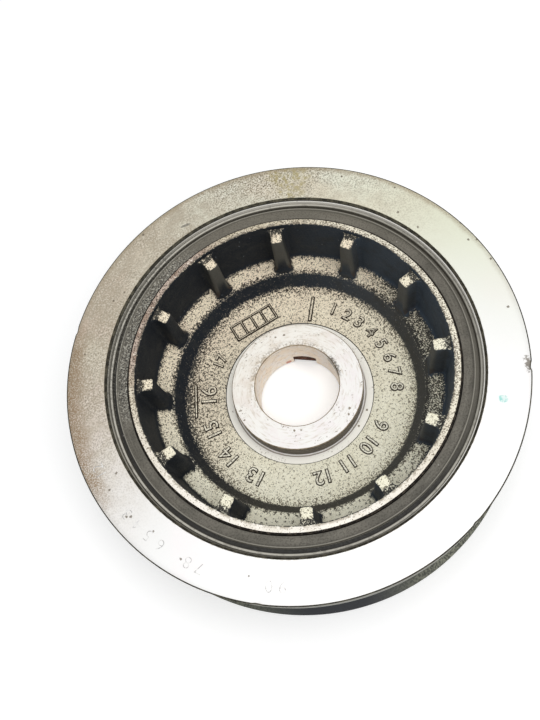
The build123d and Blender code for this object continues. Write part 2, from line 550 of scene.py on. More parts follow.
def add_rib(bm, angle):
    """Adds one rib as a closed body that reaches into the wall and the ledge."""
    c, s = cos(angle), sin(angle)
    rings = []
    for height, grow in rib_levels():
        outline = rib_outline(grow)
        rings.append([bm.verts.new((x * c - y * s, x * s + y * c, height)) for x, y in outline])
    skin(bm, rings)


def make_ribs(materials):
    """All ribs as one mesh, to be joined to the hub."""
    bm = bmesh.new()
    for rib in range(RIBS):
        add_rib(bm, FIRST_RIB + TURN * rib / RIBS)
    return finish_mesh("ribs", bm, materials)


def make_slot_cutter(materials):
    """Block that cuts the shallow slot across the front end of the bore."""
    bm = bmesh.new()
    bmesh.ops.create_cube(bm, size=1)
    reach = BORE_RADIUS + SLOT_DEPTH
    size = Matrix.Diagonal((reach, SLOT_WIDTH, SEAT + SLOT_HEIGHT, 1))
    place = Matrix.Translation((reach / 2, 0, (SEAT + SLOT_HEIGHT) / 2))
    turn = Matrix.Rotation(SLOT_ANGLE, 4, "Z")
    bm.transform(turn @ place @ size)
    for face in bm.faces:
        face.material_index = SLOT
    return finish_mesh("slot_cutter", bm, materials)


def make_hub(materials):
    """Cast hub with its ribs joined in and the key slot cut."""
    bm = bmesh.new()
    longest = dict.fromkeys(range(8), 1.6 * MM) | {CAST: 0.9 * MM}
    lathe(bm, fine_steps(rounded(hub_corners()), longest), HUB_STEPS)
    piece = finish_mesh("hub_casting", bm, materials)
    combine(piece, make_ribs(materials), "UNION")
    combine(piece, make_slot_cutter(materials), "DIFFERENCE")
    bm = bmesh.new()
    bm.from_mesh(piece.data)
    for vert in bm.verts:
        roughen(vert)
    old = piece
    piece = finish_mesh("hub_body", bm, materials)
    bpy.data.objects.remove(old)
    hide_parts("hub")
    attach(piece, "root")


def roughen(vert):
    """Moves a point of the cast surface a little, as sand casting leaves it."""
    radius = hypot(vert.co.x, vert.co.y)
    above_ribs = vert.co.z > RIB_TOP + 0.5 * MM
    if above_ribs and MOUTH_RADIUS - 0.1 * MM < radius < MOUTH_RADIUS + 0.35 * MM:
        ragged = noise.noise(vert.co * 260) * 0.16 * MM + noise.noise(vert.co * 900) * 0.10 * MM
        vert.co.x += ragged * vert.co.x / radius
        vert.co.y += ragged * vert.co.y / radius
        return
    inside = SPOT_RADIUS + 0.5 * MM < radius < MOUTH_RADIUS + 0.01 * MM
    if inside and not above_ribs and vert.co.z >= FLOOR - 1 * MM:
        wave = noise.noise_vector(vert.co * 160) * 0.09 * MM
        grain = noise.noise_vector(vert.co * 700) * 0.045 * MM
        vert.co += wave + grain


# ---- raised marks on the floor


MARK_RISE = 0.36 * MM
MARK_SLOPE = 0.5 * MM
MARK_TOP, MARK_SIDE = 0, 1
LINE_DEGREES, FRAME_DEGREES, BAR_DEGREES = 60.5, 100.2, 163
MARK_CIRCLE, BAR_CIRCLE, STAMP_CIRCLE = 33.0, 38.2, 69.6
FRAME_RAILS = (-3.1, 3.1)
FRAME_BARS = (-8.5, -4.2, 0, 4.2, 8.5)
# Degrees, radius and size of the numbers 1 to 17
NUMBERS = (
    (46.5, 34.4, 6.2), (37, 34.4, 6.2), (28, 34.4, 6.2), (18.4, 34.6, 6.2),
    (8.5, 34.8, 6.2), (-1.5, 35, 6.2), (-11, 35, 6.2), (-20.5, 35, 6.2),
    (-46.4, 31.8, 6.8), (-61, 31.8, 6.8), (-79, 31.8, 6.8), (-96, 32.6, 6.8),
    (-137, 34.4, 7.4), (-157, 34.4, 7.4), (-177, 34, 7.4), (160.6, 33, 8), (136, 32, 5.6),
)
STAMPS = (
    ("12", -171), ("3", -157), ("4", -153), ("5", -149), ("6", -145),
    ("7 8", -135), ("9 0", -114),
)
STAMP_SIZE = 5.2


def at(radius, degrees):
    """Point at that radius and angle."""
    return radius * cos(radians(degrees)), radius * sin(radians(degrees))


def mark_block(bm, centre, length, width, turn):
    """A low bar with sloping sides, as a foundry pattern leaves it."""
    here = Matrix.Translation((centre[0], centre[1], FLOOR)) @ Matrix.Rotation(turn, 4, "Z")
    levels = ((-0.3 * MM, MARK_SLOPE), (0, MARK_SLOPE), (MARK_RISE, 0))
    rings = []
    for height, grow in levels:
        a, b = length / 2 + grow, width / 2 + grow
        corners = ((-a, -b), (a, -b), (a, b), (-a, b))
        rings.append([bm.verts.new(here @ Vector((x, y, height))) for x, y in corners])
    skin(bm, rings)


def finish_marks(name, bm, materials):
    """Links raised marks with pale tops and dark sides."""
    bmesh.ops.recalc_face_normals(bm, faces=bm.faces)
    for face in bm.faces:
        face.material_index = MARK_TOP if face.normal.z > 0.97 else MARK_SIDE
    piece = finish_mesh(name, bm, materials, sharp=radians(20))
    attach(piece, "root")


def make_bars(materials):
    """Index line, empty date frame of four cells and the bar beside the numbers."""
    bm = bmesh.new()
    line = at(MARK_CIRCLE * MM, LINE_DEGREES)
    mark_block(bm, line, 9.4 * MM, 0.6 * MM, radians(LINE_DEGREES))
    out = Vector(at(1, FRAME_DEGREES))
    along = Vector((-out.y, out.x))
    middle = Vector(at(MARK_CIRCLE * MM, FRAME_DEGREES))
    turn = radians(FRAME_DEGREES)
    for offset in FRAME_RAILS:
        mark_block(bm, middle + out * offset * MM, 17.0 * MM, 0.22 * MM, turn + pi / 2)
    for offset in FRAME_BARS:
        mark_block(bm, middle + along * offset * MM, 6.2 * MM, 0.2 * MM, turn)
    bar = at(BAR_CIRCLE * MM, BAR_DEGREES)
    mark_block(bm, bar, 12.5 * MM, 0.4 * MM, radians(BAR_DEGREES + 90))
    finish_marks("cast_bars", bm, materials)


def add_text(bm, text, size, radius, degrees, height, bevel, offset):
    """Adds plain lettering laid flat, with its foot toward the axis."""
    data = bpy.data.curves.new("number_" + text, "FONT")
    data.body = text
    data.align_x, data.align_y = "CENTER", "CENTER"
    data.size = size * MM
    data.offset = offset
    data.bevel_depth = bevel
    letters = add_object("letters", data)
    bpy.context.view_layer.update()
    shape = letters.evaluated_get(bpy.context.evaluated_depsgraph_get())
    mesh = bpy.data.meshes.new_from_object(shape)
    place = Matrix.Translation((*at(radius * MM, degrees), height))
    mesh.transform(place @ Matrix.Rotation(radians(degrees) - pi / 2, 4, "Z"))
    bpy.data.objects.remove(letters)
    bm.from_mesh(mesh)
    bpy.data.meshes.remove(mesh)


def make_numbers(materials):
    """Plain numbers round the floor, as on a dial, clear of the index line and frame."""
    bm = bmesh.new()
    height, bevel, offset = FLOOR + 0.05 * MM, 0.50 * MM, -0.20 * MM
    for number, (degrees, radius, size) in enumerate(NUMBERS, 1):
        add_text(bm, str(number), size, radius, degrees, height, bevel, offset)
    finish_marks("cast_numbers", bm, materials)


def make_stamps(material):
    """Faint stamped numbers on the face of the ring."""
    bm = bmesh.new()
    for text, degrees in STAMPS:
        add_text(bm, text, STAMP_SIZE, STAMP_CIRCLE, degrees, RING_TOP, 0, -0.12 * MM)
    piece = finish_mesh("stamped_numbers", bm, [material])
    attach(piece, "root")


# ---- materials


class Shade:
    """Short calls that build the nodes of one material."""

    def __init__(self, name, roughness, metallic=0.0, specular=0.5):
        self.material = bpy.data.materials.new(name)
        self.material.use_nodes = True
        self.tree = self.material.node_tree
        self.shader = self.tree.nodes["Principled BSDF"]
        values = {"Roughness": roughness, "Metallic": metallic, "Specular IOR Level": specular}
        for socket, value in values.items():
            self.shader.inputs[socket].default_value = value
        self.coordinates = self.node("TexCoord", {})
        self.place = self.coordinates.outputs["Object"]

    def feed(self, value, socket):
        """Links a socket to a socket, or sets a plain value on it."""
        if isinstance(value, bpy.types.NodeSocket):
            self.tree.links.new(value, socket)
        elif isinstance(value, tuple) and len(value) == 3 and socket.type == "RGBA":
            socket.default_value = (*value, 1)
        else:
            socket.default_value = value

    def node(self, kind, values):
        """A new node with those values on its inputs."""
        node = self.tree.nodes.new("ShaderNode" + kind)
        for socket, value in values.items():
            self.feed(value, node.inputs[socket])
        return node

    def math(self, operation, a, b=0.0):
        """One math node."""
        node = self.node("Math", {0: a, 1: b})
        node.operation = operation
        return node.outputs[0]

    def chain(self, operation, values):
        """All the values taken together, from the first on."""
        result = values[0]
        for value in values[1:]:
            result = self.math(operation, result, value)
        return result

    def times(self, *values):
        """Product of the values."""
        return self.chain("MULTIPLY", values)

    def plus(self, *values):
        """Sum of the values."""
        return self.chain("ADD", values)

    def most(self, *values):
        """Largest of the values."""
        return self.chain("MAXIMUM", values)

    def wobble(self, grain, width):
        """A grain of 0 to 1, spread over that width about 0."""
        return self.times(self.math("SUBTRACT", grain, 0.5), width)

    def noise(self, scale, detail=2.0, rough=0.5, place=None):
        """Noise value, with the scale in features a metre."""
        values = {"Scale": scale, "Detail": detail, "Roughness": rough}
        return self.node("TexNoise", {"Vector": place or self.place} | values).outputs["Fac"]

    def cells(self, scale):
        """Distance to the nearest of many scattered points."""
        return self.node("TexVoronoi", {"Vector": self.place, "Scale": scale}).outputs["Distance"]

    def step(self, value, low, high, start=0.0, end=1.0):
        """Smooth step from start to end as value goes from low to high."""
        limits = {"From Min": low, "From Max": high, "To Min": start, "To Max": end}
        node = self.node("MapRange", {"Value": value} | limits)
        node.interpolation_type = "SMOOTHSTEP"
        return node.outputs["Result"]

    def grain(self, scale, detail, rough, low, high, start=0.0, end=1.0):
        """Noise taken through a smooth step."""
        return self.step(self.noise(scale, detail, rough), low, high, start, end)

    def span(self, length, low, high, start=0.0, end=1.0):
        """Smooth step of a length, with its limits in millimetres."""
        return self.step(length, low * MM, high * MM, start, end)

    def band(self, length, low, full, still, gone):
        """0 to 1 from low to full, and 1 to 0 from still to gone, in millimetres."""
        return self.times(self.span(length, low, full), self.span(length, still, gone, 1, 0))

    def mix(self, share, a, b):
        """Blends two colours."""
        node = self.node("Mix", {})
        node.data_type = "RGBA"
        for socket, value in ((0, share), (6, a), (7, b)):
            self.feed(value, node.inputs[socket])
        return node.outputs[2]

    def split(self):
        """x, y and z of the place, in metres."""
        return self.node("SeparateXYZ", {0: self.place}).outputs[:3]

    def height(self):
        """Height above the table."""
        return self.split()[2]

    def distance(self, x, y):
        """Length of the way that goes x and y."""
        return self.math("SQRT", self.plus(self.times(x, x), self.times(y, y)))

    def radius(self):
        """Distance from the axis."""
        x, y, _ = self.split()
        return self.distance(x, y)

    def around(self, across, along):
        """Place for marks that run round the axis: finer across the radius than along it."""
        x, y, z = self.split()
        angle = self.times(self.math("ARCTAN2", y, x), along)
        parts = {0: self.times(self.radius(), across), 1: angle, 2: self.times(z, across)}
        return self.node("CombineXYZ", parts).outputs[0]

    def near(self, x, y, size, ragged=0.4, stretch=(1.0, 1.0), grain=400):
        """1 at a point of the part, fading to 0 at that distance, with a ragged edge."""
        size *= MM
        px, py, _ = self.split()
        dx = self.times(self.math("SUBTRACT", px, x * MM), stretch[0])
        dy = self.times(self.math("SUBTRACT", py, y * MM), stretch[1])
        wobble = self.wobble(self.noise(grain, 3), size * ragged * 2)
        away = self.plus(self.distance(dx, dy), wobble)
        return self.step(away, size * 0.55, size, 1.0, 0.0)

    def dots(self, points):
        """1 at each of the (x, y, size) points."""
        return self.most(*[self.near(*point, 0.9, grain=2200) for point in points])

    def toward(self, x, y, low, high, start=0.0, end=1.0):
        """0 to 1, or start to end, across the part in the direction (x, y)."""
        px, py, _ = self.split()
        along = self.plus(self.times(px, x), self.times(py, y))
        return self.span(along, low, high, start, end)

    def rib_distance(self):
        """Distance from the middle line of the nearest rib."""
        x, y, _ = self.split()
        angle = self.math("SUBTRACT", self.math("ARCTAN2", y, x), FIRST_RIB)
        angle = self.math("PINGPONG", angle, pi / RIBS)
        return self.times(self.radius(), self.math("SINE", angle))

    def facing_up(self, low, high, ragged, grain):
        """1 where the surface faces along the axis, 0 where it stands upright."""
        node = self.node("SeparateXYZ", {0: self.coordinates.outputs["Normal"]})
        up = self.math("ABSOLUTE", node.outputs[2])
        return self.step(self.plus(up, self.wobble(grain, ragged)), low, high)

    def bump(self, height, distance, strength):
        """Bump from a height value of 0 to 1 that is that far from low to high."""
        values = {"Strength": strength, "Distance": distance, "Height": height}
        return self.node("Bump", values).outputs["Normal"]

    def finish(self, colour, roughness=None, normal=None):
        """Links what varies over the surface to the shader."""
        varied = {"Base Color": colour, "Roughness": roughness, "Normal": normal}
        for socket, value in varied.items():
            if value is not None:
                self.feed(value, self.shader.inputs[socket])
        return self.material


def cast_iron():
    """Rough casting: sandy grain with dark pits, painted shade where it stands upright, and soil
    and painted shade in its corners.
    """
    s = Shade("cast_iron", 0.7, specular=0.3)
    grain = s.noise(2300, 2, 0.65)
    coarse = s.noise(1000, 2, 0.55)
    cloud = s.noise(85, 3, 0.5)
    blend = s.plus(s.times(grain, 0.65), s.times(coarse, 0.35))
    radius = s.radius()
    z = s.height()
    on_floor = s.span(z, 10.5, 12.5, 1, 0)
    on_ledge = s.band(z, 14.8, 15.4, 24, 28)
    # Soil and painted shade: darker at the floor's outer edge, along both edges of the ledge,
    # beside the ribs, toward the right of the ledge and the left of the floor, and at the sides and
    # roots of the rib tops.
    ribs = s.span(s.rib_distance(), 2.3, 4.6, 1, 0)
    foot = s.times(on_floor, s.span(radius, 37.5, 42.2))
    inner = s.times(s.span(radius, 45.0, 46.9, 1, 0), on_ledge)
    outer = s.times(s.span(radius, 49.2, 51.8), on_ledge)
    right = s.times(s.toward(1.0, -0.25, 25, 46), on_ledge)
    dirt_and_shade = s.most(foot, inner, outer, s.times(ribs, on_ledge))
    dirt_and_shade = s.plus(dirt_and_shade, s.times(right, 1.3))
    left = s.times(s.toward(-1, 0.2, 16, 44), on_floor)
    dirt_and_shade = s.plus(dirt_and_shade, s.times(left, 0.58))
    on_rib = s.step(z, RIB_TOP - 1.0 * MM, RIB_TOP - 0.6 * MM)
    sides = s.span(s.rib_distance(), 0.9, 2.1, 0, 1.05)
    roots = s.span(radius, 49.0, 50.8, 0, 1.7)
    dirt_and_shade = s.plus(dirt_and_shade, s.times(on_rib, s.most(sides, roots)))
    # Painted light: lit and shaded copies of the pale and pit colours, lighter toward the near
    # side. The floor is also lighter toward the far side.
    lit = s.toward(0.12, -0.99, -42, 30)
    low = s.math("SUBTRACT", blend, s.times(dirt_and_shade, 0.085))
    low = s.plus(low, s.times(lit, 0.042))
    low = s.plus(low, s.toward(0.1, 1.0, 10, 34, 0.017, 0.040))
    near = s.times(s.toward(-0.1, -1, 30, 44), on_ledge)
    uneven = s.grain(700, 3, 0.6, 0.38, 0.62, -0.055, 0.10)
    low = s.plus(low, s.times(near, uneven))
    pale = s.mix(lit, (0.99, 0.87, 0.66), (0.99, 0.955, 0.77))
    warm = s.mix(lit, (0.88, 0.73, 0.56), (0.98, 0.93, 0.72))
    pale = s.mix(s.step(cloud, 0.4, 0.65, 0, 0.5), pale, warm)
    sandy = s.mix(lit, (0.52, 0.44, 0.32), (0.66, 0.61, 0.44))
    pale = s.mix(s.grain(1500, 2, 0.65, 0.40, 0.56, 0.4, 0), pale, sandy)
    pale = s.mix(s.times(left, 0.45), pale, (0.74, 0.62, 0.47))
    pit = s.mix(lit, (0.030, 0.022, 0.016), (0.18, 0.155, 0.105))
    pit = s.mix(s.most(s.step(dirt_and_shade, 0.8, 1.5), s.times(near, 0.7)), pit, (0.040, 0.038, 0.032))
    floor = s.mix(s.step(low, 0.435, 0.525), pit, pale)
    # Painted shade: upright faces get this near-black colour, bluer and lighter toward the right,
    # browner on the near right of the step, with a few pale specks.
    blue = s.toward(0.9, -0.3, -10, 45)
    wall = s.mix(blue, (0.009, 0.013, 0.019), (0.052, 0.072, 0.098))
    wall = s.mix(s.grain(230, 3, 0.6, 0.45, 0.7, 0, 0.5), wall, (0.030, 0.032, 0.032))
    band = s.times(s.span(radius, 45.4, 46.4, 1, 0), s.toward(0.6, -0.8, -30, 30))
    wall = s.mix(s.times(band, 0.75), wall, (0.062, 0.055, 0.042))
    specks = s.times(s.step(s.cells(300), 0.04, 0.075, 1, 0), s.grain(60, 2, 0.5, 0.5, 0.6, 0, 0.7))
    wall = s.mix(specks, wall, (0.26, 0.30, 0.34))
    # Painted light: the sides of the ribs toward the far side and the right are lighter grey, brown
    # low down.
    flank = s.times(s.span(s.rib_distance(), 2.9, 3.3, 1, 0), s.span(radius, 50.8, 51.4, 1, 0))
    flank = s.times(flank, s.span(radius, 46.0, 46.3), s.span(z, 15.2, 15.8))
    far = s.most(s.toward(0.5, 0.86, 6, 34), s.toward(1, 0, 16, 38))
    front = s.span(radius, 46.9, 48.4, 0.75, 0.30)
    grey = s.mix(s.span(z, 17.5, 21.5), (0.060, 0.042, 0.030), (0.115, 0.110, 0.092))
    wall = s.mix(s.times(flank, far, front), wall, grey)
    # Painted shade and soil: the ledge between the rib noses and the crest takes the dark wall
    # colour.
    ends = s.span(radius, 46.4, 47.6, 1, 0)
    nose = s.times(ribs, on_ledge, ends, s.step(blend, 0.52, 0.62, 1, 0))
    floor = s.mix(s.times(nose, 0.92), floor, wall)
    # Painted shade: faces that stand upright take the dark wall colour, faces along the axis the
    # floor colour.
    colour = s.mix(s.facing_up(0.52, 0.88, 0.95, blend), wall, floor)
    height = s.plus(s.times(grain, 0.5), s.times(coarse, 0.8))
    normal = s.bump(height, 0.20 * MM, 0.7)
    return s.finish(colour, roughness=s.step(grain, 0.3, 0.7, 0.8, 0.6), normal=normal)


def mark_top():
    """Top of the raised marks, as pale as the floor."""
    s = Shade("mark_top", 0.7, specular=0.3)
    lit = s.toward(0.12, -0.99, -42, 30)
    pale = s.mix(lit, (0.88, 0.78, 0.60), (0.98, 0.95, 0.79))
    pits = s.grain(2300, 2, 0.6, 0.38, 0.5)
    return s.finish(s.mix(pits, (0.16, 0.12, 0.08), pale))


def mark_side():
    """Painted shade on the sloping sides of the raised marks, near black with some grain."""
    s = Shade("mark_side", 0.8, specular=0.2)
    dirt_and_shade = s.grain(1500, 2, 0.6, 0.55, 0.72)
    return s.finish(s.mix(dirt_and_shade, (0.026, 0.018, 0.012), (0.13, 0.10, 0.065)))


def smeared(s, colour):
    """Adds the dark ragged smear along the upper edge of the bore."""
    grain = s.noise(1500, 3, 0.65)
    radius = s.plus(s.radius(), s.wobble(s.noise(700, 3, 0.6), 2.4 * MM))
    close = s.span(radius, 15.7, 16.5, 1.0, 0.0)
    there = s.near(15.6, 1.6, 5.2, 0.5, grain=500)
    specks = s.step(grain, 0.36, 0.5)
    share = s.times(s.times(close, there), s.times(specks, 0.85))
    z = s.height()
    share = s.times(share, s.span(z, 11.5, 13.0))
    return s.mix(share, colour, (0.10, 0.085, 0.06))


def boss_face():
    """Turned face of the boss: creamy white with soft round marks and a few pits."""
    s = Shade("boss_face", 0.45, metallic=0.1)
    lines = s.noise(1.0, 3, 0.55, place=s.around(1700, 6.0))
    cloud = s.noise(190, 4, 0.62)
    lit = s.toward(0.3, -0.95, -24, 16)
    cream = s.mix(lit, (0.99, 0.95, 0.87), (0.99, 0.97, 0.93))
    rosy = s.mix(lit, (0.90, 0.82, 0.72), (0.97, 0.91, 0.90))
    pink = s.mix(s.step(cloud, 0.42, 0.66, 0, 0.8), cream, rosy)
    lined = s.mix(s.step(lines, 0.50, 0.72, 0, 0.55), pink, (0.62, 0.54, 0.42))
    tanned = s.times(s.grain(330, 4, 0.65, 0.48, 0.62), s.span(s.radius(), 15.2, 19.6, 0.7, 0.1))
    lined = s.mix(s.times(tanned, s.toward(-0.35, 0.94, -8, 14)), lined, (0.66, 0.55, 0.41))
    outer = s.span(s.radius(), 24.4, 24.7)
    lined = s.mix(outer, lined, (1.0, 0.965, 0.87))
    fine = s.grain(1300, 2, 0.6, 0.58, 0.67)
    pits = s.times(fine, s.grain(150, 3, 0.6, 0.47, 0.62))
    spots = s.dots((
        (13.8, -15.2, 0.55), (12.7, -17.1, 0.5), (-6.8, -15.3, 0.45), (-4.6, -16.1, 0.4),
        (2.6, 19.8, 0.5), (-0.6, 20.2, 0.45), (-21.8, -5.0, 0.45), (14.9, -20.4, 0.5),
        (19.8, -16.0, 0.5),
    ))
    top = s.toward(-0.1, 1.0, 0, 12)
    halo = s.times(s.span(s.radius(), 15.5, 18.0, 1, 0), top, s.grain(1300, 3, 0.6, 0.42, 0.6))
    # Painted shade: a dark ring at the foot of the boss on its near side.
    radius = s.plus(s.radius(), s.wobble(s.noise(300, 2), 0.3 * MM))
    foot = s.times(s.band(radius, 23.85, 24.05, 24.25, 24.5), s.toward(-0.2, -1, -14, 4))
    dark = s.most(s.times(pits, 0.8), spots, s.times(halo, 0.6), s.times(foot, 0.9))
    colour = s.mix(dark, lined, (0.24, 0.19, 0.13))
    normal = s.bump(lines, 0.03 * MM, 0.5)
    return s.finish(smeared(s, colour), normal=normal)


def bore_wall():
    """Inside of the bore: warm bright iron with brown grain."""
    s = Shade("bore_wall", 0.45, metallic=0.1)
    lines = s.noise(1.0, 3, 0.6, place=s.around(1700, 9.0))
    cloud = s.noise(260, 3, 0.6)
    warm = s.mix(s.step(cloud, 0.35, 0.65), (0.99, 0.86, 0.70), (0.99, 0.93, 0.86))
    grained = s.mix(s.step(lines, 0.52, 0.70, 0, 0.6), warm, (0.52, 0.38, 0.25))
    z = s.height()
    low = s.span(z, 2.6, 3.0, 1, 0)
    chip = s.times(s.near(0.8, 14.95, 1.2, 0.3, grain=900), low)
    colour = s.mix(s.times(chip, 0.9), grained, (0.60, 0.24, 0.17))
    return s.finish(smeared(s, colour))


def brown_edge():
    """Brown chamfers: rust at the top of the bore, and painted shade on the outer edge of the boss.
    """
    s = Shade("brown_edge", 0.6, specular=0.3)
    grain = s.grain(900, 3, 0.6, 0.35, 0.65)
    return s.finish(smeared(s, s.mix(grain, (0.20, 0.14, 0.08), (0.42, 0.33, 0.22))))


def dark_wall():
    """Unturned side of the boss, brown with darker lines, its darkness painted shade."""
    s = Shade("dark_wall", 0.55, specular=0.35)
    z = s.height()
    band = s.plus(z, s.times(s.noise(160, 2), 1.2 * MM))
    lines = s.step(s.math("SINE", s.times(band, 3300)), 0.2, 0.8)
    grain = s.grain(800, 3, 0.6, 0.4, 0.65)
    colour = s.mix(lines, (0.060, 0.045, 0.030), (0.17, 0.135, 0.09))
    return s.finish(s.mix(s.times(grain, 0.35), colour, (0.26, 0.22, 0.15)))


def slot_brown():
    """Rusty faces of the key slot, darkened as painted shade."""
    s = Shade("slot_brown", 0.8, specular=0.2)
    grain = s.grain(900, 2, 0.5, 0.4, 0.65)
    return s.finish(s.mix(grain, (0.060, 0.024, 0.016), (0.14, 0.065, 0.04)))


def black_grime():
    """Near-black painted shade in the narrow gap round the hub and at the edge of the spot face."""
    s = Shade("black_grime", 0.8, specular=0.15)
    grain = s.grain(900, 3, 0.6, 0.45, 0.7)
    return s.finish(s.mix(grain, (0.014, 0.012, 0.010), (0.075, 0.060, 0.045)))


def rim_iron():
    """Top of the hub's rim: rusty on one side, speckled, and paler on the other as painted light.
    """
    s = Shade("rim_iron", 0.5, metallic=0.15)
    grain = s.noise(1900, 3, 0.65)
    cloud = s.noise(260, 3, 0.6)
    lit = s.toward(-0.45, -0.9, 4, 50)
    pale = s.mix(lit, (0.66, 0.58, 0.43), (0.95, 0.90, 0.81))
    cloudy = s.mix(lit, (0.90, 0.84, 0.68), (0.80, 0.74, 0.62))
    pale = s.mix(s.step(cloud, 0.45, 0.62, 0, 0.5), pale, cloudy)
    pale = s.mix(s.toward(1, 0.1, 22, 48, 0, 0.8), pale, (0.93, 0.88, 0.73))
    brown = s.near(-36, 40, 38, 0.25, grain=90)
    rusty = s.mix(s.step(cloud, 0.4, 0.6), (0.40, 0.29, 0.22), (0.62, 0.50, 0.41))
    pale = s.mix(brown, pale, rusty)
    dark = s.mix(lit, (0.15, 0.12, 0.08), (0.30, 0.25, 0.18))
    dark = s.mix(brown, dark, (0.10, 0.07, 0.05))
    specks = s.plus(grain, s.times(lit, 0.08))
    colour = s.mix(s.step(specks, 0.42, 0.52), dark, pale)
    edge = s.times(s.span(s.radius(), 52.5, 53.5, 1, 0), s.grain(520, 4, 0.65, 0.46, 0.56, 0, 0.8))
    colour = s.mix(edge, colour, s.mix(lit, (0.13, 0.10, 0.07), (0.34, 0.29, 0.21)))
    glint = s.times(brown, s.grain(700, 3, 0.6, 0.60, 0.68, 0, 0.8))
    colour = s.mix(glint, colour, (0.93, 0.84, 0.72))
    normal = s.bump(grain, 0.08 * MM, 0.6)
    return s.finish(colour, normal=normal)


